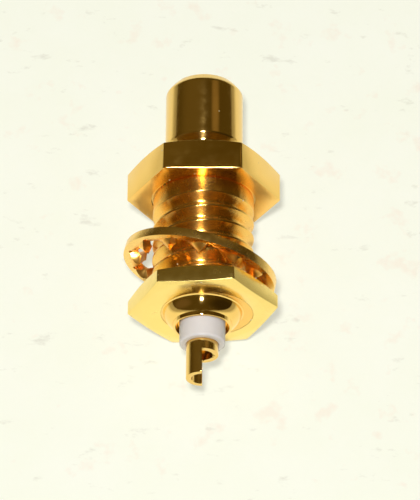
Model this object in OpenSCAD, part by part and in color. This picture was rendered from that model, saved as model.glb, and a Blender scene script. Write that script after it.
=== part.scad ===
// Gold-plated coaxial bulkhead jack: a push-on mating barrel, a hexagonal panel
// flange and a threaded shank in one turned body, with PTFE insulators, a centre
// contact with a solder pot, a lock washer hanging on the thread and a hex nut.
// Axis of the jack: Y, mating end towards +Y. Origin: on that axis, in the plane
// of the flange's rear face, which seats on the panel. Z is up.

/* [Mating barrel] */
// Outside diameter of the mating barrel
barrel_d = 3.72; // [3.4:0.01:4.0]
// Height of the barrel's end face above the panel seat
barrel_tip_y = 6.2; // [5.2:0.05:7.5]
// Height above the panel seat at which the barrel has its full diameter
barrel_base_y = 2.76; // [2.4:0.01:3.2]
// Length of the lead-in taper at the barrel's end
lead_length = 0.5; // [0.2:0.01:0.9]
// How far the lead-in taper goes in from the barrel's side
lead_depth = 0.4; // [0.1:0.01:0.5]
// Inside diameter of the mating bore
socket_d = 2.08; // [1.8:0.01:2.3]
// Depth of the mating bore from the barrel's end face
socket_depth = 3.45; // [2:0.05:4]

/* [Latch groove] */
// Diameter at the bottom of the groove behind the barrel
groove_d = 3.14; // [2.8:0.01:3.4]
// Length of the taper from the barrel down into the groove
groove_taper = 0.42; // [0.1:0.01:0.6]

/* [Hex flange] */
// Distance across the flange's flats
flange_af = 6.35; // [6:0.05:7.5]
// Thickness of the flange
flange_t = 1.59; // [1.2:0.01:2.2]
// Angle of the chamfer on the flange's front corners, in degrees
flange_chamfer_angle = 17; // [8:1:30]
// Diameter of the round front face inside that chamfer
flange_face_d = 5.9; // [5:0.05:6.3]
// Depth of the shallow recess round the thread in the flange's rear face
seat_recess = 0.05; // [0.02:0.01:0.2]

/* [Threaded shank] */
// Distance from the panel seat to the shank's plain part
seat_groove = 0.13; // [0.1:0.01:0.3]
// Major diameter of the thread
thread_d = 4.82; // [4.4:0.01:5.0]
// Pitch of the thread, 32 turns to the inch
thread_pitch = 0.79375; // [0.6:0.00625:0.9]
// Distance of the first crest, where the plain part ends, behind the panel seat
first_crest = 0.75; // [0.5:0.01:1.2]
// Number of full crests
crest_count = 7; // [6:1:8]
// Distance from the panel seat to the rear end of the thread
thread_length = 5.95; // [5.6:0.05:6.2]

/* [Rear neck] */
// Outside diameter of the plain neck behind the thread
neck_d = 3.78; // [3.3:0.01:3.84]
// Distance from the panel seat to the neck's rear end
neck_end = 6.87; // [6.7:0.01:7.4]
// Radius of the rolled rim at the neck's rear end
rim_round = 0.6; // [0.2:0.01:0.62]
// Diameter of the mouth in the rolled rim
mouth_d = 2.54; // [2.3:0.01:2.6]
// Depth of that mouth
mouth_depth = 0.5; // [0.2:0.05:1]

/* [Insulators] */
// Outside diameter of both insulators
insulator_d = 2.18; // [2.1:0.01:2.25]
// Distance from the panel seat to the rear insulator's end face
insulator_end = 7.78; // [7.3:0.01:8.2]
// Distance behind the panel seat at which the two insulators meet
insulator_joint = 0.8; // [0.3:0.05:2]
// Radius of the rounded edge on the rear insulator
insulator_round = 0.12; // [0.05:0.01:0.2]

/* [Centre contact] */
// Diameter of the mating pin
pin_d = 0.51; // [0.4:0.01:0.6]
// How far the pin's tip lies below the barrel's end face
pin_recess = 0.8; // [0.3:0.05:1.5]
// Length of the taper at the pin's tip
pin_taper = 0.25; // [0.1:0.01:0.4]
// Outside diameter of the solder pot and its shank in the rear insulator
pot_d = 1.52; // [1.3:0.01:1.7]
// Diameter of the hole in the solder pot
pot_bore_d = 1.0; // [0.8:0.01:1.1]
// Distance from the panel seat to the solder pot's open end
pot_end = 9.55; // [9:0.05:11]
// Depth of the solder pot's hole
pot_depth = 2.15; // [1.5:0.05:2.5]
// Length over which the pot's right half is cut away
pot_cut = 1.24; // [0.8:0.01:1.4]
// Diameter of the stem that carries the pin in the front insulator
stem_d = 0.9; // [0.86:0.01:1.1]
// Diameter of the collar that locks the contact between the insulators
collar_d = 1.8; // [1.75:0.01:1.95]
// Length of that collar
collar_length = 0.6; // [0.3:0.05:0.7]

/* [Hex nut] */
// Distance across the nut's flats
nut_af = 6.2; // [6:0.05:7]
// Thickness of the nut
nut_t = 0.92; // [0.7:0.01:0.93]
// Distance from the panel seat to the nut's rear face
nut_rear = 6.04; // [5.95:0.01:6.3]
// Turn of the nut from the flange's flats, in degrees
nut_turn = -5.4; // [-30:0.1:30]
// Angle of the chamfer on the nut's front corners, in degrees
nut_front_angle = 17; // [8:1:25]
// Angle of the chamfer on the nut's rear corners, in degrees
nut_rear_angle = 8; // [4:1:25]
// Diameter of the round faces inside those chamfers
nut_face_d = 5.8; // [5:0.05:6.1]

/* [Lock washer] */
// Outside diameter of the lock washer
washer_d = 7.36; // [6.8:0.02:8]
// Thickness of the washer's metal
washer_t = 0.42; // [0.3:0.01:0.5]
// Width of the washer's outer ring
washer_ring = 0.42; // [0.35:0.01:0.6]
// Diameter of the circle on which the teeth end
washer_tip_d = 5.62; // [5.6:0.01:5.8]
// Number of internal teeth
tooth_count = 12; // [8:1:13]
// Share of the pitch that a tooth takes up
tooth_share = 0.78; // [0.4:0.01:0.85]
// Twist of the teeth out of the washer's plane, in degrees
tooth_twist = 25; // [10:1:25]
// Angle of the first tooth from the washer's right-hand side, in degrees
tooth_phase = -4; // [-16:1:16]
// Distance of the washer's centre behind the panel seat
washer_y = 3.82; // [3.5:0.01:3.83]
// Distance of the washer's centre to the left of the jack's axis
washer_left = 0.14; // [0:0.005:0.15]
// Lean of the washer about the upright axis, in degrees
washer_swing = 13.7; // [0:0.1:15]
// Lean of the washer away from upright, in degrees
washer_nod = 3.2; // [0:0.1:5]

/* [Clearances] */
// Radial gap between the thread's crests and the recess in the flange
seat_gap = 0.06; // [0.05:0.01:0.15]
// Gap between the washer's lowest teeth and the underside of the thread
washer_hang_gap = 0.13; // [0.1:0.01:0.2]
// Radial clearance of the nut over the thread's crests
nut_gap = 0.04; // [0.01:0.01:0.1]
// Radial clearance of the insulators and the contact in their bores
press_gap = 0.01; // [0.005:0.005:0.02]

/* [Hidden] */
$fn = 96;

gold = [0.85, 0.65, 0.22];
deep_gold = [0.80, 0.57, 0.17];
white = [0.90, 0.89, 0.88];
past = 1;                                     // how far a cutter runs past a face

barrel_r = barrel_d / 2;
thread_r = thread_d / 2;
thread_h = 0.6134 * thread_pitch;             // depth of the unified thread form
thread_root_r = thread_r - thread_h;
crest_flat = thread_pitch / 8;
flank = thread_h * tan(30);                   // axial length of one 30 degree flank
crest_y = [for (k = [0 : crest_count - 1]) -first_crest - k * thread_pitch];
end_ridge = thread_pitch / 8;                 // height of the thread left at its end face
end_chamfer = thread_h - end_ridge;
neck_run_in = thread_pitch / 4;               // how far the neck runs into the thread
join_y = flange_t / 2;                        // plane in the flange where barrel and shank meet
neck_r = neck_d / 2;
flange_r = flange_af / 2 / cos(30);
flange_face_r = flange_face_d / 2;
nut_r = nut_af / 2 / cos(30);
nut_face_r = nut_face_d / 2;
socket_floor_y = barrel_tip_y - socket_depth;
pin_r = pin_d / 2;
pin_tip_r = pin_r / 2;
pin_tip_y = barrel_tip_y - pin_recess;
stem_r = stem_d / 2;
pot_r = pot_d / 2;
collar_r = collar_d / 2;
washer_r = washer_d / 2;
washer_tip_r = washer_tip_d / 2;
washer_up = washer_tip_r - thread_r - washer_hang_gap;
tooth_root_r = washer_r - washer_ring;
tooth_sink = washer_ring / 5;                 // how far a tooth's root runs into the ring
tooth_w = 2 * tooth_root_r * tan(180 / tooth_count) * tooth_share;
tooth_tip_w = tooth_w * washer_tip_r / tooth_root_r;

// Turns a shape made along Z so that it lies along Y, mating end first.
module along_axis() {
    rotate([-90, 0, 0]) children();
}

// Points of one thread crest, from its rear flank's root to its front flank's root.
function crest_points(y) = [
    [thread_root_r, y - crest_flat / 2 - flank],
    [thread_r, y - crest_flat / 2],
    [thread_r, y + crest_flat / 2],
    [thread_root_r, y + crest_flat / 2 + flank]
];

// Hexagonal plate from z = 0 to t, its corners turned off outside the round faces.
module hex_plate(corner_r, t, face_r, rear_angle, front_angle) {
    reach = corner_r + past;
    intersection() {
        linear_extrude(t) circle(corner_r, $fn = 6);
        rotate_extrude() polygon([
            [0, 0],
            [face_r, 0],
            [reach, (reach - face_r) * tan(rear_angle)],
            [reach, t - (reach - face_r) * tan(front_angle)],
            [face_r, t],
            [0, t]
        ]);
    }
}

// Hex flange with a shallow recess round the thread, so that a panel seats flat.
module flange_blank() {
    difference() {
        hex_plate(flange_r, flange_t, flange_face_r, 0, flange_chamfer_angle);
        translate([0, 0, -past]) cylinder(h = past + seat_recess, r = thread_r + seat_gap);
    }
}

// Mating barrel with its lead-in taper, down to the groove behind it.
module barrel_blank() {
    rotate_extrude() polygon([
        [0, join_y],
        [groove_d / 2, join_y],
        [groove_d / 2, barrel_base_y - groove_taper],
        [barrel_r, barrel_base_y],
        [barrel_r, barrel_tip_y - lead_length],
        [barrel_r - lead_depth, barrel_tip_y],
        [0, barrel_tip_y]
    ]);
}

// Threaded shank: a groove at the flange, a plain part, a ridge for each turn, a tapered start.
module shank_blank() {
    plain_end = crest_points(crest_y[0]);
    intersection() {
        rotate_extrude() polygon(concat(
            [[0, -thread_length], [thread_root_r, -thread_length]],
            [for (k = [crest_count - 1 : -1 : 1]) each crest_points(crest_y[k])],
            [plain_end[0], plain_end[1], [thread_r, -seat_groove], [thread_root_r, -seat_groove]],
            [[thread_root_r, join_y], [0, join_y]]
        ));
        rotate_extrude() polygon([
            [0, -thread_length],
            [thread_root_r + end_ridge, -thread_length],
            [thread_r + past, -thread_length + end_chamfer + past],
            [thread_r + past, flange_t],
            [0, flange_t]
        ]);
    }
}

// Plain neck with its rolled rear rim.
module neck_blank() {
    rotate_extrude() union() {
        translate([0, -neck_end]) square([neck_r - rim_round, neck_end - thread_length + neck_run_in]);
        translate([0, -neck_end + rim_round])
            square([neck_r, neck_end - rim_round - thread_length + neck_run_in]);
        translate([neck_r - rim_round, -neck_end + rim_round]) circle(rim_round);
    }
}

// One turned piece: barrel, latch groove, hex flange, thread, neck and rolled rim.
module connector_body() {
    color(gold) along_axis() difference() {
        union() {
            barrel_blank();
            flange_blank();
            shank_blank();
            neck_blank();
        }
        // mating bore
        translate([0, 0, socket_floor_y]) cylinder(h = socket_depth + past, d = socket_d);
        // bore that holds both insulators
        translate([0, 0, -neck_end - past])
            cylinder(h = neck_end + past + socket_floor_y, d = insulator_d);
        // mouth in the rolled rim
        translate([0, 0, -neck_end - past]) cylinder(h = mouth_depth + past, d = mouth_d);
    }
}

// PTFE bush at the bottom of the mating bore, which carries the pin.
module front_insulator() {
    color(white) along_axis() difference() {
        translate([0, 0, -insulator_joint])
            cylinder(h = insulator_joint + socket_floor_y, r = insulator_d / 2 - press_gap);
        translate([0, 0, -insulator_joint - past])
            cylinder(h = insulator_joint + socket_floor_y + 2 * past, r = stem_r + press_gap);
    }
}

// PTFE bush that stands out behind the rim and carries the solder pot.
module rear_insulator() {
    bush_r = insulator_d / 2 - press_gap;
    color(white) along_axis() difference() {
        rotate_extrude() union() {
            translate([0, -insulator_end + insulator_round])
                square([bush_r, insulator_end - insulator_round - insulator_joint]);
            translate([0, -insulator_end]) square([bush_r - insulator_round, insulator_round]);
            translate([bush_r - insulator_round, -insulator_end + insulator_round])
                circle(insulator_round);
        }
        translate([0, 0, -insulator_end - past])
            cylinder(h = insulator_end + past, r = pot_r + press_gap);
        // seat of the contact's collar
        translate([0, 0, -insulator_joint - collar_length])
            cylinder(h = collar_length + past, r = collar_r + press_gap);
    }
}

// Pin, stem, locking collar and solder pot, turned as one piece.
module centre_contact() {
    color(gold) along_axis() difference() {
        rotate_extrude() polygon([
            [0, -pot_end],
            [pot_r, -pot_end],
            [pot_r, -insulator_joint - collar_length],
            [collar_r, -insulator_joint - collar_length],
            [collar_r, -insulator_joint],
            [stem_r, -insulator_joint],
            [stem_r, socket_floor_y],
            [pin_r, socket_floor_y],
            [pin_r, pin_tip_y - pin_taper],
            [pin_tip_r, pin_tip_y],
            [0, pin_tip_y]
        ]);
        translate([0, 0, -pot_end - past]) cylinder(h = pot_depth + past, d = pot_bore_d);
        // the pot's right half is cut away, so that a wire can be laid in
        translate([0, -pot_r - past, -pot_end - past])
            cube([pot_r + past, 2 * (pot_r + past), pot_cut + past]);
    }
}

// One tooth on the ring's +X side, its lower edge twisted rearwards.
module washer_tooth() {
    rotate([-tooth_twist, 0, 0]) translate([0, 0, -washer_t / 2]) linear_extrude(washer_t)
        polygon([
            [washer_tip_r, -tooth_tip_w / 2],
            [tooth_root_r + tooth_sink, -tooth_w / 2],
            [tooth_root_r + tooth_sink, tooth_w / 2],
            [washer_tip_r, tooth_tip_w / 2]
        ]);
}

// Internal-tooth lock washer, hanging on the thread with a lean to one side.
module lock_washer() {
    color(deep_gold) translate([-washer_left, -washer_y, washer_up])
        rotate([washer_nod, 0, -washer_swing]) along_axis() union() {
            translate([0, 0, -washer_t / 2]) difference() {
                cylinder(h = washer_t, r = washer_r);
                translate([0, 0, -past]) cylinder(h = washer_t + 2 * past, r = tooth_root_r);
            }
            for (k = [0 : tooth_count - 1])
                rotate([0, 0, tooth_phase + k * 360 / tooth_count]) washer_tooth();
        }
}

// Hex nut on the end of the thread.
module hex_nut() {
    color(gold) along_axis() translate([0, 0, -nut_rear]) difference() {
        rotate([0, 0, nut_turn])
            hex_plate(nut_r, nut_t, nut_face_r, nut_rear_angle, nut_front_angle);
        translate([0, 0, -past]) cylinder(h = nut_t + 2 * past, r = thread_r + nut_gap);
    }
}

connector_body();
front_insulator();
rear_insulator();
centre_contact();
lock_washer();
hex_nut();
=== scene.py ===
"""Gold-plated coaxial bulkhead jack on white paper, with its lock washer and hex nut."""
import math

import bmesh
import bpy
from mathutils import Matrix, Vector


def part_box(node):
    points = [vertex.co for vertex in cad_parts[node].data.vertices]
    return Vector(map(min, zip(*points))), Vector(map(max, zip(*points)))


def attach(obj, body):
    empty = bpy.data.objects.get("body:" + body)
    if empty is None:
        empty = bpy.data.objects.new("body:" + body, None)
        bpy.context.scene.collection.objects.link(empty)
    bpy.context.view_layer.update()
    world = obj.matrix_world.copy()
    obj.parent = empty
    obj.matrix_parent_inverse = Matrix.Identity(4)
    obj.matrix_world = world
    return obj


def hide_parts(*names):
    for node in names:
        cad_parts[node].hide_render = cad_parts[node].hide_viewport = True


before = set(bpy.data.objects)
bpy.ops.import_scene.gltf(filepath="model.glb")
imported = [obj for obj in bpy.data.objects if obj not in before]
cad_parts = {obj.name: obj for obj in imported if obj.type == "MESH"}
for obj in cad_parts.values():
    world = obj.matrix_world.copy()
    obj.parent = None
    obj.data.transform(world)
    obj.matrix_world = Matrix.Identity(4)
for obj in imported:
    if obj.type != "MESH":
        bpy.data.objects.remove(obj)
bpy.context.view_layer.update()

# ---------------------------------------------------------------- sizes, in millimetres
MM = 0.001
TURN_STEPS = 144                 # faces round a turned piece
THREAD_STEPS = 96                # faces round one turn of thread

BARREL_R, BARREL_TIP, BARREL_BASE = 1.86, 6.2, 2.76
LEAD_LENGTH, LEAD_DEPTH, LEAD_ROUND, TIP_ROUND = 0.5, 0.40, 0.1, 0.14
SOCKET_R, SOCKET_FLOOR, SOCKET_ROUND = 1.04, 2.75, 0.04
GROOVE_R, GROOVE_TAPER, GROOVE_ROUND, BARREL_FOOT_ROUND = 1.57, 0.3, 0.1, 0.06

FLANGE_AF, FLANGE_T, FLANGE_FACE_R, FLANGE_ANGLE = 6.35, 1.59, 2.95, 17
SEAT_RECESS, SEAT_RECESS_R = 0.06, 2.49          # shallow, round the foot of the shank
HEX_CORNER_ROUND = 0.07                          # on the flange and on the nut
FLANGE_EDGE, NUT_EDGE, POT_EDGE = 0.06, 0.05, 0.025
PAST_BORES = 2.65                # edges farther out than this belong to a hexagon

THREAD_R, PITCH, FIRST_CREST = 2.41, 0.79375, 0.75
THREAD_H = 0.6134 * PITCH
THREAD_ROOT_R = THREAD_R - THREAD_H
THREAD_START, THREAD_END = -0.70, -6.035
CREST_FLAT = PITCH / 8
CREST_ROUND, ROOT_ROUND = 0.03, 0.12
CORE_R = 1.6
SHANK_R, SHANK_END, SHANK_ROUND, SHANK_RUNOUT = 2.40, -0.79, 0.03, 0.2

BOSS_R, BOSS_END, BOSS_LAP = 1.953, -6.05, 0.04
NECK_R, NECK_END, NECK_ROUND = 1.88, -6.87, 0.03
DOME_R, DOME_START, DOME_STEPS, DOME_FROM, DOME_TO = 0.9, -6.085, 12, 12, 62
MOUTH_R, MOUTH_FLOOR, MOUTH_ROUND = 1.27, -6.37, 0.015
BORE_R = 1.09

PTFE_R, PTFE_END, PTFE_FRONT, PTFE_ROUND = 1.08, -7.78, -0.8, 0.12
PTFE_LIP, PTFE_FIT = 0.03, 0.01
PIN_R, PIN_TIP, PIN_TAPER, PIN_ROUND, STEM_R = 0.255, 5.4, 0.25, 0.05, 0.45
COLLAR_R, COLLAR_FRONT, COLLAR_BACK = 0.9, -0.8, -1.4
POT_R, POT_BORE_R, POT_END, POT_FLOOR, POT_STEP = 0.76, 0.5, -9.55, -7.4, -8.31
POT_CONE = 0.2                   # what the drill's point leaves at the bottom of the pot
POT_ROUND, POT_LIP, STEM_ROUND = 0.04, 0.03, 0.02

NUT_AF, NUT_T, NUT_REAR, NUT_FACE_R = 6.2, 0.92, -6.04, 2.9
NUT_FRONT_ANGLE, NUT_REAR_ANGLE, NUT_TURN = 17, 8, -5.4
NUT_MINOR_R, NUT_PLAY, TAP_PAST = 1.96, 0.018, 0.3

WASHER_R, WASHER_T, WASHER_TIP_R, WASHER_EDGE = 3.68, 0.42, 2.81, 0.045
WASHER_SLOT_R, SLOT_HALF, TOOTH_COUNT = 3.31, 0.14, 12
TOOTH_TWIST, TOOTH_PHASE, TWIST_DONE = 36, -4, 0.75
WASHER_AT = (-0.14, -3.82, 0.27)
WASHER_NOD, WASHER_SWING = 3.2, 13.7

CLEAR = 1                        # how far a cutter reaches past the metal


# ---------------------------------------------------------------- making metal
def outline_wire(bm, outline, closed=True):
    """Wire of an outline of (radius, y, rounding), its corners rounded, in the plane of the axis."""
    corners = [bm.verts.new((r, y, 0)) for r, y, _ in outline]
    for a, b in zip(corners, corners[1:]):
        bm.edges.new((a, b))
    if closed:
        bm.edges.new((corners[-1], corners[0]))
    for corner, (_, _, rounding) in zip(corners, outline):
        if rounding:
            bmesh.ops.bevel(bm, geom=[corner], offset=rounding, offset_type="OFFSET", segments=5,
                            profile=0.5, affect="VERTICES", clamp_overlap=False, material=-1)
    return bm


def turned(outline, closed=True, steps=TURN_STEPS):
    """Solid of revolution about the jack's axis. An open outline starts and ends on the axis."""
    bm = outline_wire(bmesh.new(), outline, closed)
    bmesh.ops.spin(bm, geom=bm.verts[:] + bm.edges[:], cent=(0, 0, 0), axis=(0, 1, 0),
                   dvec=(0, 0, 0), angle=math.tau, steps=steps, use_merge=True)
    bmesh.ops.remove_doubles(bm, verts=bm.verts, dist=1e-5)
    bmesh.ops.recalc_face_normals(bm, faces=bm.faces)
    return bm


def plug(radius, low, high):
    """Plain cylinder about the axis, to cut with."""
    return turned([(0, low, 0), (radius, low, 0), (radius, high, 0), (0, high, 0)], closed=False)


def threaded_rod(grow, from_y, to_y):
    """Right-hand threaded rod along the axis, grow larger than the shank's thread in radius."""
    crest, root = THREAD_R + grow, THREAD_ROOT_R + grow
    half_crest = CREST_FLAT / 2
    foot = half_crest + THREAD_H * math.tan(math.radians(30))
    bm = outline_wire(bmesh.new(), [
        (root, -PITCH / 2, 0), (root, -foot, ROOT_ROUND), (crest, -half_crest, CREST_ROUND),
        (crest, half_crest, CREST_ROUND), (root, foot, ROOT_ROUND), (root, PITCH / 2, 0)], closed=False)
    turns = math.ceil((to_y - from_y) / PITCH) + 3
    bmesh.ops.rotate(bm, cent=(0, 0, 0), matrix=Matrix.Rotation(-math.pi / 2, 3, "Y"), verts=bm.verts)
    lead = -FIRST_CREST - PITCH * (math.ceil((-FIRST_CREST - from_y) / PITCH) + 1)
    bmesh.ops.translate(bm, vec=(0, lead, 0), verts=bm.verts)
    bmesh.ops.spin(bm, geom=bm.verts[:] + bm.edges[:], cent=(0, 0, 0), axis=(0, 1, 0),
                   dvec=(0, PITCH / THREAD_STEPS, 0), angle=math.tau * turns,
                   steps=THREAD_STEPS * turns, use_merge=False)
    bmesh.ops.remove_doubles(bm, verts=bm.verts, dist=1e-4)
    for level, side in ((from_y, -1), (to_y, 1)):
        cut = bmesh.ops.bisect_plane(bm, geom=bm.verts[:] + bm.edges[:] + bm.faces[:], dist=1e-6,
                                     plane_co=(0, level, 0), plane_no=(0, side, 0), clear_outer=True)
        rim = [g for g in cut["geom_cut"] if isinstance(g, bmesh.types.BMEdge)]
        bmesh.ops.contextual_create(bm, geom=rim)
    bmesh.ops.recalc_face_normals(bm, faces=bm.faces)
    return bm


def hex_blank(across, low, high):
    """Hexagonal bar along the axis from low to high, two flats square to Z, its corners eased."""
    bm = bmesh.new()
    bmesh.ops.create_circle(bm, cap_ends=True, segments=6, radius=across / 2 / math.cos(math.pi / 6),
                            matrix=Matrix.Rotation(-math.pi / 2, 4, "X"))
    bmesh.ops.rotate(bm, cent=(0, 0, 0), matrix=Matrix.Rotation(math.pi / 6, 3, "Y"), verts=bm.verts)
    bmesh.ops.translate(bm, vec=(0, low, 0), verts=bm.verts)
    up = bmesh.ops.extrude_face_region(bm, geom=bm.faces[:])
    bmesh.ops.translate(bm, vec=(0, high - low, 0),
                        verts=[g for g in up["geom"] if isinstance(g, bmesh.types.BMVert)])
    corners = [e for e in bm.edges if abs(e.verts[0].co.y - e.verts[1].co.y) > (high - low) / 2]
    bmesh.ops.bevel(bm, geom=corners, offset=HEX_CORNER_ROUND, offset_type="OFFSET", segments=3,
                    profile=0.5, affect="EDGES", material=-1)
    bmesh.ops.recalc_face_normals(bm, faces=bm.faces)
    return bm


def shop_object(bm, name):
    """Object that holds a mesh while it is being worked on."""
    mesh = bpy.data.meshes.new(name)
    bm.to_mesh(mesh)
    bm.free()
    obj = bpy.data.objects.new(name, mesh)
    bpy.context.scene.collection.objects.link(obj)
    return obj


def worked(obj):
    """Mesh of an object with its modifiers done, after which the object is put away."""
    bpy.context.view_layer.update()
    graph = bpy.context.evaluated_depsgraph_get()
    bm = bmesh.new()
    bm.from_object(obj, graph)
    bpy.data.objects.remove(obj)
    return bm


def combined(blank, tool, operation):
    """The blank with the tool joined to it, cut from it or kept in common with it."""
    work, cutter = shop_object(blank, "blank"), shop_object(tool, "tool")
    step = work.modifiers.new("step", "BOOLEAN")
    step.operation, step.object, step.solver = operation, cutter, "EXACT"
    result = worked(work)
    bpy.data.objects.remove(cutter)
    return result


def past_bores(edge):
    """Whether an edge belongs to the outside of a hexagon."""
    return min(v.co.x ** 2 + v.co.z ** 2 for v in edge.verts) > PAST_BORES ** 2


def broken_edges(bm, sharp, size, wanted, segments):
    """Breaks the edges that are wanted with a small round, where they turn by more than sharp."""
    edges = [e for e in bm.edges
             if len(e.link_faces) == 2 and e.calc_face_angle(0) > math.radians(sharp) and wanted(e)]
    bmesh.ops.bevel(bm, geom=edges, offset=size, offset_type="OFFSET", segments=segments,
                    profile=0.5, affect="EDGES", clamp_overlap=True, material=-1)
    return bm


def piece(bm, name, finish, body, slot, *nodes, smooth=35, place=Matrix()):
    """Finished piece from a mesh in millimetres, on its body, standing for the CAD nodes."""
    bmesh.ops.transform(bm, matrix=Matrix.Scale(MM, 4) @ place, verts=bm.verts)
    for face in bm.faces:
        face.smooth = True
    for edge in bm.edges:
        edge.smooth = len(edge.link_faces) == 2 and edge.calc_face_angle(0) < math.radians(smooth)
    obj = shop_object(bm, name)
    obj.data.materials.append(finish)
    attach(obj, body)
    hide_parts(*nodes)
    return obj


# ---------------------------------------------------------------- finishes
class Recipe:
    """Short hand for wiring a material's nodes."""

    def __init__(self, name):
        self.material = bpy.data.materials.new(name)
        self.material.use_nodes = True
        self.tree = self.material.node_tree
        self.shader = self.tree.nodes["Principled BSDF"]
        self.place = self.add("ShaderNodeTexCoord").outputs["Object"]

    def add(self, kind, **values):
        node = self.tree.nodes.new(kind)
        for key, value in values.items():
            if hasattr(node, key):
                setattr(node, key, value)
            else:
                socket = node.inputs[key.replace("_", " ")]
                if isinstance(value, bpy.types.NodeSocket):
                    self.tree.links.new(value, socket)
                else:
                    socket.default_value = value
        return node

    def link(self, source, target):
        self.tree.links.new(source, target)

    def noise(self, vector, scale, detail=2.0, rough=0.5):
        return self.add("ShaderNodeTexNoise", Vector=vector, Scale=scale, Detail=detail,
                        Roughness=rough).outputs["Fac"]

    def span(self, value, low, high, to_low, to_high):
        node = self.add("ShaderNodeMapRange", Value=value)
        for key, number in (("From Min", low), ("From Max", high), ("To Min", to_low), ("To Max", to_high)):
            node.inputs[key].default_value = number
        return node.outputs["Result"]

    def math(self, operation, a, b=0.0):
        node = self.add("ShaderNodeMath", operation=operation)
        for socket, value in zip(node.inputs, (a, b)):
            if isinstance(value, bpy.types.NodeSocket):
                self.link(value, socket)
            else:
                socket.default_value = value
        return node.outputs["Value"]

    def blend(self, factor, a, b):
        node = self.add("ShaderNodeMix", data_type="RGBA")
        for socket, value in zip((node.inputs["Factor"], node.inputs[6], node.inputs[7]), (factor, a, b)):
            if isinstance(value, bpy.types.NodeSocket):
                self.link(value, socket)
            else:
                socket.default_value = value
        return node.outputs[2]

    def turned_place(self):
        """Radius from the axis and height along it, in millimetres."""
        parts = self.add("ShaderNodeSeparateXYZ", Vector=self.place)
        flat = self.add("ShaderNodeVectorMath", operation="MULTIPLY")
        self.link(self.place, flat.inputs[0])
        flat.inputs[1].default_value = (1000, 0, 1000)
        length = self.add("ShaderNodeVectorMath", operation="LENGTH")
        self.link(flat.outputs["Vector"], length.inputs[0])
        return length.outputs["Value"], self.math("MULTIPLY", parts.outputs["Y"], 1000.0)

    def rings(self, scale):
        """Noise that is the same all the way round the axis, as a turning tool leaves it."""
        radius, height = self.turned_place()
        across = self.add("ShaderNodeCombineXYZ", X=radius, Y=height)
        return self.noise(across.outputs["Vector"], scale / 1000, 3.0)

    def between(self, value, low, high, ease):
        """1 where the value lies between low and high, 0 outside, with a ramp of the width ease."""
        return self.math("MINIMUM", self.span(value, low - ease, low, 0.0, 1.0),
                         self.span(value, high, high + ease, 1.0, 0.0))

    def bumps(self, *layers):
        """Chain of bumps, each a (height, depth in metres)."""
        normal = None
        for height, depth in layers:
            node = self.add("ShaderNodeBump", Height=height, Distance=depth)
            node.inputs["Strength"].default_value = 1.0
            if normal:
                self.link(normal, node.inputs["Normal"])
            normal = node.outputs["Normal"]
        self.link(normal, self.shader.inputs["Normal"])


GOLD, DEEP_GOLD = (1.0, 0.68, 0.21, 1), (0.95, 0.60, 0.17, 1)
NUT_GOLD, NUT_DEEP_GOLD = (1.0, 0.76, 0.25, 1), (0.97, 0.70, 0.21, 1)
WASHER_DEEP_GOLD, POT_GOLD = (0.93, 0.56, 0.14, 1), (0.90, 0.61, 0.19, 1)
# painted shade: the deeper orange that light bounced in the thread's grooves, and between the shank and the
# flange's rear face, gives these surfaces
THREAD_BOUNCE_SHADE, SEAT_BOUNCE_SHADE = (0.97, 0.58, 0.14, 1), (0.96, 0.47, 0.06, 1)
BARREL_GOLD, FLAT_GOLD = (0.85, 0.56, 0.17, 1), (0.86, 0.50, 0.06, 1)
# painted reflection: the orange-red that light bounced among the washer's teeth gives them
TOOTH_BOUNCE_ORANGE = (1.0, 0.47, 0.08, 1)
DUST = (0.80, 0.74, 0.56, 1)
PTFE_SHADE, PTFE_LIGHT = (0.63, 0.61, 0.63, 1), (0.71, 0.69, 0.70, 1)
PAPER_WHITE, PAPER_WARM = (0.945, 0.965, 0.83, 1), (0.96, 0.975, 0.86, 1)
FIBRE_GREY, FIBRE_PINK = (0.55, 0.52, 0.44, 1), (0.90, 0.42, 0.30, 1)
PAPER_FAR = (0.25, 0.22, 0.14, 1)                # what lies beside the sheet, as the metal sees it
SHEET_SIDE, SHEET_GONE = 0.0105, 0.020           # metres to the side of the jack's axis
PAPER_GLOW, PAPER_GLOW_IN_METAL = 0.6, 0.5


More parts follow.
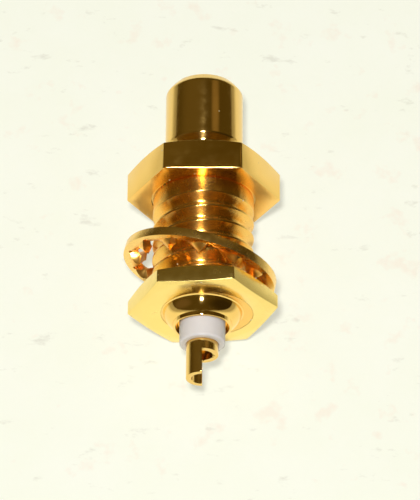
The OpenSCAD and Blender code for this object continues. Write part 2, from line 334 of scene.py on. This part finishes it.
def gold_plate(name, shine, rings_depth=0.0, satin_depth=0.0, dust=0.0, tone=GOLD, deep=DEEP_GOLD,
               zones=None, grain=0.0):
    """Gold plating: tone that drifts a little, tool rings, fine satin, and specks of dust.

    A zone function may give its own shine, depth of the rings and tone to parts of the piece. The
    grain runs round the axis, as turning leaves it, and draws a lamp's gleam out along the piece.
    """
    r = Recipe(name)
    r.shader.inputs["Metallic"].default_value = 1.0
    drift = r.noise(r.place, 900.0, 3.0)
    tone = r.blend(r.span(drift, 0.35, 0.7, 0.0, 0.45), tone, deep)
    smear = r.noise(r.place, 2400.0, 4.0, 0.6)
    gloss = r.span(smear, 0.3, 0.75, shine * 0.8, shine * 1.35)
    rings = r.rings(30000.0) if rings_depth else None
    if zones:
        tone, gloss, rings = zones(r, tone, gloss, rings)
    if dust:
        cells = r.add("ShaderNodeTexVoronoi", Vector=r.place, Scale=2600.0)
        near = r.span(cells.outputs["Distance"], 0.07, 0.13, 1.0, 0.0)
        chosen = r.span(r.add("ShaderNodeSeparateXYZ", Vector=cells.outputs["Color"]).outputs["X"],
                        1.0 - dust, 1.0 - dust + 0.01, 0.0, 1.0)
        speck = r.math("MULTIPLY", near, chosen)
        tone = r.blend(speck, tone, DUST)
        gloss = r.math("MAXIMUM", gloss, r.math("MULTIPLY", speck, 0.75))
        r.link(r.math("SUBTRACT", 1.0, r.math("MULTIPLY", speck, 0.85)), r.shader.inputs["Metallic"])
    r.link(tone, r.shader.inputs["Base Color"])
    r.link(gloss, r.shader.inputs["Roughness"])
    layers = []
    if rings_depth:
        layers.append((rings, rings_depth))
    if satin_depth:
        layers.append((r.noise(r.place, 14000.0, 4.0, 0.6), satin_depth))
    if layers:
        r.bumps(*layers)
    if grain:
        r.shader.inputs["Anisotropic"].default_value = grain
        r.shader.inputs["Anisotropic Rotation"].default_value = 0.25
        around = r.add("ShaderNodeTangent", direction_type="RADIAL", axis="Y")
        r.link(around.outputs["Tangent"], r.shader.inputs["Tangent"])
    return r.material


def white_ptfe():
    """Machined PTFE: waxy white with faint turning rings."""
    r = Recipe("white_ptfe")
    drift = r.noise(r.place, 1100.0, 3.0)
    r.link(r.blend(drift, PTFE_SHADE, PTFE_LIGHT), r.shader.inputs["Base Color"])
    r.link(r.span(r.noise(r.place, 5000.0, 3.0), 0.3, 0.7, 0.38, 0.55), r.shader.inputs["Roughness"])
    r.shader.inputs["Subsurface Weight"].default_value = 0.35
    r.shader.inputs["Subsurface Radius"].default_value = (0.5, 0.45, 0.4)
    r.shader.inputs["Subsurface Scale"].default_value = 0.0006
    r.shader.inputs["IOR"].default_value = 1.35
    r.bumps((r.rings(26000.0), 3e-6), (r.noise(r.place, 9000.0, 3.0), 2e-6))
    return r.material


def paper():
    """White paper with faint fibres and specks of dirt.

    Away to both sides it darkens for the metal and for bounced light, as where a small sheet ends.
    """
    r = Recipe("white_paper")
    clouds = r.noise(r.place, 260.0, 5.0, 0.65)
    tone = r.blend(r.span(clouds, 0.35, 0.7, 0.0, 1.0), PAPER_WHITE, PAPER_WARM)
    stretched = r.add("ShaderNodeMapping", Vector=r.place, Scale=(0.45, 1.0, 1.0), Rotation=(0, 0, 0.7))
    specks = r.noise(stretched.outputs["Vector"], 1500.0, 4.0, 0.62)
    tone = r.blend(r.span(specks, 0.63, 0.73, 0.0, 0.34), tone, FIBRE_GREY)
    warm = r.noise(r.place, 700.0, 3.0, 0.6)
    tone = r.blend(r.span(warm, 0.60, 0.72, 0.0, 0.13), tone, FIBRE_PINK)
    aside = r.math("ABSOLUTE", r.add("ShaderNodeSeparateXYZ", Vector=r.place).outputs["X"])
    path = r.add("ShaderNodeLightPath")
    unseen = r.math("SUBTRACT", 1.0, path.outputs["Is Camera Ray"])
    dim = r.math("MULTIPLY", r.span(aside, SHEET_SIDE, SHEET_GONE, 0.0, 0.75), unseen)
    tone = r.blend(dim, tone, PAPER_FAR)
    r.link(tone, r.shader.inputs["Base Color"])
    r.shader.inputs["Roughness"].default_value = 0.9
    r.shader.inputs["Specular IOR Level"].default_value = 0.2
    r.bumps((r.noise(r.place, 1800.0, 4.0, 0.6), 1.2e-5))
    seen = r.math("MAXIMUM", path.outputs["Is Camera Ray"],
                  r.math("MULTIPLY", path.outputs["Is Glossy Ray"], PAPER_GLOW_IN_METAL))
    glow = r.add("ShaderNodeEmission", Color=tone)
    mixed = r.add("ShaderNodeMixShader")
    r.link(r.math("MULTIPLY", seen, PAPER_GLOW), mixed.inputs[0])
    r.link(r.shader.outputs["BSDF"], mixed.inputs[1])
    r.link(glow.outputs["Emission"], mixed.inputs[2])
    r.link(mixed.outputs["Shader"], r.tree.nodes["Material Output"].inputs["Surface"])
    return r.material


def body_zones(r, tone, gloss, rings):
    """Satin thread painted a deeper orange, and the flange's rear face painted orange by the shank and
    fading outward: both painted shade, the colour of light bounced between the thread's flanks and between
    shank and flange. Deeper barrel, smoother neck, and smoother, darker flats.
    """
    radius, height = r.turned_place()
    # thread mask: also carries the thread's painted shade, a deeper orange for the light bounced between
    # its flanks
    thread = r.math("MULTIPLY", r.between(height, THREAD_END, -0.03, 0.02),
                    r.span(radius, 2.5, 2.6, 1.0, 0.0))
    # painted shade on the flange's rear face: full by the shank, fading to a tenth farther out, for the
    # light bounced between shank and flange
    seat_shade = r.math("MULTIPLY", r.between(height, -0.02, 0.02, 0.02),
                  r.span(radius, 2.42, 3.5, 1.0, 0.1))
    flats = r.math("MULTIPLY", r.between(height, 0.06, 1.53, 0.02),
                   r.span(radius, 2.6, 3.1, 0.0, 1.0))
    barrel = r.span(height, 1.62, 1.7, 0.0, 1.0)
    neck = r.span(height, THREAD_END - 0.02, THREAD_END, 1.0, 0.0)
    for zone, change in ((barrel, -0.04), (neck, -0.10), (thread, 0.07), (flats, -0.09)):
        gloss = r.math("ADD", gloss, r.math("MULTIPLY", zone, change))
    # the thread and seat tones here are painted shade
    for zone, share, gold in ((thread, 0.8, THREAD_BOUNCE_SHADE), (seat_shade, 1.0, SEAT_BOUNCE_SHADE),
                              (barrel, 0.45, BARREL_GOLD), (flats, 0.3, FLAT_GOLD)):
        tone = r.blend(r.math("MULTIPLY", zone, share), tone, gold)
    return tone, gloss, r.math("MULTIPLY", rings, r.span(thread, 0.0, 1.0, 0.3, 1.0))


def washer_zones(r, tone, gloss, rings):
    """Teeth inside the washer's bright ring painted orange-red in random patches, a painted reflection of
    light bounced among them; the teeth are also duller.
    """
    root = WASHER_SLOT_R * MM
    middle = r.add("ShaderNodeVectorMath", operation="SUBTRACT")
    r.link(r.place, middle.inputs[0])
    middle.inputs[1].default_value = tuple(v * MM for v in WASHER_AT)
    away = r.add("ShaderNodeVectorMath", operation="LENGTH")
    r.link(middle.outputs["Vector"], away.inputs[0])
    tooth = r.span(away.outputs["Value"], root - 0.01 * MM, root + 0.11 * MM, 1.0, 0.0)
    # painted reflection: random patches of the bounced orange-red on the teeth
    bounce_patches = r.span(r.noise(r.place, 1900.0, 3.0, 0.6), 0.4, 0.6, 0.35, 1.0)
    tone = r.blend(r.math("MULTIPLY", tooth, bounce_patches), tone, TOOTH_BOUNCE_ORANGE)
    return tone, r.math("ADD", gloss, r.math("MULTIPLY", tooth, 0.06)), rings


body_gold = gold_plate("body_gold", 0.17, rings_depth=4e-6, satin_depth=5e-7, dust=0.12,
                       zones=body_zones, grain=0.9)
nut_gold = gold_plate("nut_gold", 0.22, satin_depth=1.6e-6, dust=0.12, tone=NUT_GOLD,
                      deep=NUT_DEEP_GOLD)
washer_gold = gold_plate("washer_gold", 0.24, satin_depth=2.5e-6, deep=WASHER_DEEP_GOLD,
                         zones=washer_zones)
contact_gold = gold_plate("contact_gold", 0.16, rings_depth=1e-6, satin_depth=8e-7, tone=POT_GOLD)
ptfe = white_ptfe()


# ---------------------------------------------------------------- connector body
def neck_dome():
    """Outline of the neck's round shoulder, from its rear edge up to the end of the thread."""
    first, last = math.radians(DOME_FROM), math.radians(DOME_TO)
    outline = []
    for k in range(DOME_STEPS, -1, -1):
        lean = first + (last - first) * k / DOME_STEPS
        outline.append((NECK_R - DOME_R * (math.cos(first) - math.cos(lean)),
                        DOME_START - DOME_R * (math.sin(lean) - math.sin(first)), 0))
    return outline


def turned_body():
    """Barrel, latch groove, core of the shank, neck, rolled rim and bores, as the lathe leaves them."""
    join_y = FLANGE_T / 2
    dome = neck_dome()
    return turned([
        (MOUTH_R, NECK_END, MOUTH_ROUND), (dome[0][0] - NECK_ROUND, NECK_END, NECK_ROUND)] + dome + [
        (BOSS_R, BOSS_END, 0), (BOSS_R, THREAD_END + BOSS_LAP, 0),
        (THREAD_ROOT_R, THREAD_END + BOSS_LAP, 0), (THREAD_ROOT_R, SHANK_END - SHANK_RUNOUT, 0),
        (SHANK_R, SHANK_END, SHANK_ROUND), (SHANK_R, join_y, 0), (GROOVE_R, join_y, 0),
        (GROOVE_R, BARREL_BASE - GROOVE_TAPER, GROOVE_ROUND), (BARREL_R, BARREL_BASE, BARREL_FOOT_ROUND),
        (BARREL_R, BARREL_TIP - LEAD_LENGTH, LEAD_ROUND), (BARREL_R - LEAD_DEPTH, BARREL_TIP, TIP_ROUND),
        (SOCKET_R, BARREL_TIP, SOCKET_ROUND), (SOCKET_R, SOCKET_FLOOR, 0), (BORE_R, SOCKET_FLOOR, 0),
        (BORE_R, MOUTH_FLOOR, 0), (MOUTH_R, MOUTH_FLOOR, 0)])


def hex_plate(across, low, high, face_r, rear_angle, front_angle):
    """Hex plate with its corners turned off in front and behind."""
    reach = across * 0.6                          # a little past the corners
    drop = (reach - face_r) * math.tan(math.radians(front_angle))
    rise = (reach - face_r) * math.tan(math.radians(rear_angle))
    facing = turned([(0, low, 0), (face_r, low, 0), (reach, low + rise, 0), (reach, high - drop, 0),
                     (face_r, high, 0), (0, high, 0)], closed=False)
    return combined(hex_blank(across, low - CLEAR, high + CLEAR), facing, "INTERSECT")


def connector_body():
    """The turned body with its hex flange and its thread."""
    thread = combined(threaded_rod(0, THREAD_END, THREAD_START),
                      plug(CORE_R, THREAD_END - CLEAR, CLEAR), "DIFFERENCE")
    flange = hex_plate(FLANGE_AF, 0, FLANGE_T, FLANGE_FACE_R, 0, FLANGE_ANGLE)
    flange = combined(flange, plug(SEAT_RECESS_R, -CLEAR, SEAT_RECESS), "DIFFERENCE")
    flange = broken_edges(flange, 12, FLANGE_EDGE, past_bores, segments=3)
    body = combined(combined(turned_body(), flange, "UNION"), thread, "UNION")
    return piece(body, "jack_body", body_gold, "jack", "gold_body", "connector_body")


def hex_nut():
    """Thin nut, turned a little on the thread, with the thread cut into its hole."""
    front = NUT_REAR + NUT_T
    plate = hex_plate(NUT_AF, NUT_REAR, front, NUT_FACE_R, NUT_REAR_ANGLE, NUT_FRONT_ANGLE)
    plate = broken_edges(plate, 6, NUT_EDGE, past_bores, segments=3)
    bmesh.ops.rotate(plate, cent=(0, 0, 0), matrix=Matrix.Rotation(math.radians(NUT_TURN), 3, "Y"),
                     verts=plate.verts)
    drilled = combined(plate, plug(NUT_MINOR_R, NUT_REAR - CLEAR, front + CLEAR), "DIFFERENCE")
    tap = threaded_rod(NUT_PLAY, NUT_REAR - TAP_PAST, front + TAP_PAST)
    nut = combined(drilled, tap, "DIFFERENCE")
    return piece(nut, "hex_nut_finished", nut_gold, "nut", "gold_nut", "hex_nut")


# ---------------------------------------------------------------- lock washer
def lock_washer():
    """Ring with twisted inner teeth: one pitch is laid out flat, repeated, then given its thickness."""
    pitch = math.tau / TOOTH_COUNT
    slot_angle = SLOT_HALF / WASHER_SLOT_R
    rows_ring, rows_tooth, columns_slot, columns_tooth = 4, 10, 4, 12
    columns = columns_tooth + 2 * columns_slot
    rows = rows_ring + rows_tooth
    bm = bmesh.new()
    bmesh.ops.create_grid(bm, x_segments=columns, y_segments=rows, size=1)
    place = {}
    for vert in bm.verts:
        place[vert] = (round((vert.co.x + 1) / 2 * columns), round((vert.co.y + 1) / 2 * rows))
    spare = [f for f in bm.faces
             if min(place[v][1] for v in f.verts) >= rows_ring
             and not columns_slot <= sum(place[v][0] for v in f.verts) / 4 < columns - columns_slot]
    bmesh.ops.delete(bm, geom=spare, context="FACES")
    for vert in bm.verts:
        column, row = place[vert]
        inner = min(column, columns - column)
        if inner <= columns_slot:                 # half a slot at each side
            angle = pitch / 2 - slot_angle * inner / columns_slot
            from_middle = SLOT_HALF * inner / columns_slot
        else:
            share = (inner - columns_slot) / (columns_tooth / 2)
            angle = (pitch / 2 - slot_angle) * (1 - share)
            from_middle = SLOT_HALF
        angle = math.copysign(angle, column - columns / 2)
        if row <= rows_ring:
            root = WASHER_SLOT_R + math.sqrt(max(0.0, SLOT_HALF ** 2 - from_middle ** 2))
            radius = WASHER_R + (root - WASHER_R) * row / rows_ring
            vert.co = (radius * math.cos(angle), radius * math.sin(angle), 0)
        else:                                     # the tooth: constant slots, then the twist
            share = (row - rows_ring) / rows_tooth
            radius = WASHER_SLOT_R + (WASHER_TIP_R - WASHER_SLOT_R) * share
            half_tooth = radius * math.sin(pitch / 2) - SLOT_HALF
            half_root = WASHER_SLOT_R * math.sin(pitch / 2) - SLOT_HALF
            side = WASHER_SLOT_R * math.sin(angle) * half_tooth / half_root
            along = math.sqrt(max(0.0, radius ** 2 - side ** 2))
            eased = min(1.0, share / TWIST_DONE)
            twist = -math.radians(TOOTH_TWIST) * eased * eased * (3 - 2 * eased)
            vert.co = (along, side * math.cos(twist), side * math.sin(twist))
    one = bm.verts[:] + bm.edges[:] + bm.faces[:]
    for k in range(1, TOOTH_COUNT):
        copy = bmesh.ops.duplicate(bm, geom=one)["geom"]
        bmesh.ops.rotate(bm, cent=(0, 0, 0), matrix=Matrix.Rotation(k * pitch, 3, "Z"),
                         verts=[g for g in copy if isinstance(g, bmesh.types.BMVert)])
    bmesh.ops.remove_doubles(bm, verts=bm.verts, dist=1e-4)
    loose = [v for v in bm.verts if not v.link_faces]
    bmesh.ops.delete(bm, geom=loose, context="VERTS")
    bmesh.ops.recalc_face_normals(bm, faces=bm.faces)
    obj = shop_object(bm, "washer_sheet")
    wall = obj.modifiers.new("thickness", "SOLIDIFY")
    wall.thickness, wall.offset, wall.use_even_offset = WASHER_T, 0, False
    ease = obj.modifiers.new("sheared_edges", "BEVEL")
    ease.width, ease.segments = WASHER_EDGE, 3
    ease.limit_method, ease.angle_limit = "ANGLE", math.radians(50)
    washer = worked(obj)
    lie = (Matrix.Translation(WASHER_AT) @ Matrix.Rotation(math.radians(-WASHER_SWING), 4, "Z")
           @ Matrix.Rotation(math.radians(WASHER_NOD), 4, "X") @ Matrix.Rotation(-math.pi / 2, 4, "X")
           @ Matrix.Rotation(math.radians(TOOTH_PHASE), 4, "Z"))
    return piece(washer, "toothed_washer", washer_gold, "washer", "gold_washer", "lock_washer", place=lie)


# ---------------------------------------------------------------- contact and insulators
def centre_contact():
    """Pin, stem, collar and solder pot, with the side of the pot cut away."""
    blank = turned([
        (0, POT_FLOOR + POT_CONE, 0), (POT_BORE_R, POT_FLOOR, 0), (POT_BORE_R, POT_END, POT_LIP),
        (POT_R, POT_END, POT_ROUND), (POT_R, COLLAR_BACK, 0), (COLLAR_R, COLLAR_BACK, 0),
        (COLLAR_R, COLLAR_FRONT, 0), (STEM_R, COLLAR_FRONT, 0), (STEM_R, SOCKET_FLOOR, STEM_ROUND),
        (PIN_R, SOCKET_FLOOR, 0), (PIN_R, PIN_TIP - PIN_TAPER, PIN_ROUND),
        (PIN_R / 2, PIN_TIP, PIN_ROUND), (0, PIN_TIP, 0)], closed=False)
    cutter = bmesh.new()
    bmesh.ops.create_cube(cutter, size=1)
    bmesh.ops.scale(cutter, vec=(2, 2 * (POT_STEP - POT_END), 2), verts=cutter.verts)
    bmesh.ops.translate(cutter, vec=(1, POT_END, 0), verts=cutter.verts)
    contact = combined(blank, cutter, "DIFFERENCE")
    contact = broken_edges(contact, 50, POT_EDGE,
                           lambda e: max(v.co.y for v in e.verts) < POT_STEP + 0.01, segments=2)
    return piece(contact, "pot_contact", contact_gold, "jack", "gold_contact", "centre_contact")


def rear_insulator():
    """PTFE bush round the pot and the collar."""
    pot_fit, collar_fit = POT_R + PTFE_FIT, COLLAR_R + PTFE_FIT
    bush = turned([
        (pot_fit, PTFE_END, PTFE_LIP), (PTFE_R, PTFE_END, PTFE_ROUND), (PTFE_R, PTFE_FRONT, 0),
        (collar_fit, PTFE_FRONT, 0), (collar_fit, COLLAR_BACK, 0), (pot_fit, COLLAR_BACK, 0)])
    return piece(bush, "ptfe_bush", ptfe, "jack", "ptfe", "rear_insulator")


connector_body()
hex_nut()
lock_washer()
centre_contact()
rear_insulator()
front_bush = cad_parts["front_insulator"]
front_bush.data.materials.clear()
front_bush.data.materials.append(ptfe)


# ---------------------------------------------------------------- paper, light and camera
def floor():
    """Sheet of paper that the washer's rim and the flange's front edge rest on."""
    washer_low, washer_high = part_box("lock_washer")
    body_low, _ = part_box("connector_body")
    rest_rear = Vector((0, (washer_low.y + washer_high.y) / 2, washer_low.z))
    rest_front = Vector((0, (FLANGE_T - HEX_CORNER_ROUND) * MM, body_low.z))
    rise = math.atan2(rest_front.z - rest_rear.z, rest_front.y - rest_rear.y)
    bm = bmesh.new()
    bmesh.ops.create_grid(bm, x_segments=2, y_segments=2, size=0.45)
    bmesh.ops.transform(bm, matrix=Matrix.Translation(rest_rear) @ Matrix.Rotation(rise, 4, "X"),
                        verts=bm.verts)
    sheet = shop_object(bm, "paper")
    sheet.data.materials.append(paper())
    return sheet


CAMERA_LIFT, CAMERA_TURN, CAMERA_ROLL = 60.756, 1.914, 1.668      # degrees
CAMERA_AWAY = 0.21905                                             # metres
LENS, SHIFT_X, SHIFT_Y = 330.3, 0.01288, -0.099


def toward(lift, turn):
    """Unit vector from the jack out to a height and a turn to the right, seen from behind it."""
    lift, turn = math.radians(lift), math.radians(turn)
    return Vector((math.sin(turn) * math.cos(lift), -math.cos(turn) * math.cos(lift), math.sin(lift)))


def camera():
    """Camera above and behind the jack, with the mating end pointing away from it."""
    back = toward(CAMERA_LIFT, CAMERA_TURN)
    right = Vector((0, 0, 1)).cross(back).normalized()
    turn = Matrix((right, back.cross(right), back)).transposed().to_4x4()
    data = bpy.data.cameras.new("camera")
    data.lens, data.sensor_width, data.shift_x, data.shift_y = LENS, 36, SHIFT_X, SHIFT_Y
    data.clip_start, data.clip_end = 0.01, 10
    obj = bpy.data.objects.new("camera", data)
    obj.matrix_world = (Matrix.Translation(back * CAMERA_AWAY) @ turn
                        @ Matrix.Rotation(math.radians(-CAMERA_ROLL), 4, "Z"))
    bpy.context.scene.collection.objects.link(obj)
    bpy.context.scene.camera = obj


def lamp(name, lift, turn, away, size, power, colour):
    """Round soft lamp that looks at the jack."""
    data = bpy.data.lights.new(name, "AREA")
    data.shape, data.size, data.energy, data.color = "DISK", size, power, colour
    obj = bpy.data.objects.new(name, data)
    way = toward(lift, turn)
    obj.matrix_world = Matrix.Translation(way * away) @ way.to_track_quat("Z", "Y").to_matrix().to_4x4()
    bpy.context.scene.collection.objects.link(obj)


ROOM_TONE = (0.078, 0.054, 0.012, 1)
ROOM_PATCHES = (                 # direction, inner and outer half angle in degrees, colour
    ((-0.5, 0.45, 0.75), 5, 40, (0.115, 0.083, 0.026, 1)),
    ((0.8, -0.5, 0.3), 10, 50, (0.03, 0.02, 0.005, 1)),
    ((-0.80, -0.45, 0.40), 3, 32, (0.13, 0.09, 0.04, 1)),
    ((0.49, 0.488, 0.722), 4, 13, (0.237, 0.166, 0.07, 1)))


def room():
    """Dark warm room with a few soft patches for the gold to mirror."""
    world = bpy.data.worlds.new("room")
    world.use_nodes = True
    tree = world.node_tree
    way = tree.nodes.new("ShaderNodeTexCoord").outputs["Generated"]
    colour = None
    for place, inner, outer, tone in ROOM_PATCHES:
        facing = tree.nodes.new("ShaderNodeVectorMath")
        facing.operation = "DOT_PRODUCT"
        tree.links.new(way, facing.inputs[0])
        facing.inputs[1].default_value = Vector(place).normalized()
        span = tree.nodes.new("ShaderNodeMapRange")
        span.interpolation_type = "SMOOTHSTEP"
        tree.links.new(facing.outputs["Value"], span.inputs["Value"])
        span.inputs["From Min"].default_value = math.cos(math.radians(outer))
        span.inputs["From Max"].default_value = math.cos(math.radians(inner))
        mix = tree.nodes.new("ShaderNodeMix")
        mix.data_type = "RGBA"
        tree.links.new(span.outputs["Result"], mix.inputs["Factor"])
        if colour:
            tree.links.new(colour, mix.inputs[6])
        else:
            mix.inputs[6].default_value = ROOM_TONE
        mix.inputs[7].default_value = tone
        colour = mix.outputs[2]
    tree.links.new(colour, tree.nodes["Background"].inputs["Color"])
    tree.nodes["Background"].inputs["Strength"].default_value = 1.0
    bpy.context.scene.world = world


floor()
camera()
lamp("key", lift=66, turn=-4, away=0.24, size=0.024, power=0.58, colour=(1.0, 0.995, 0.97))
room()
bpy.context.scene.view_settings.view_transform = "Standard"
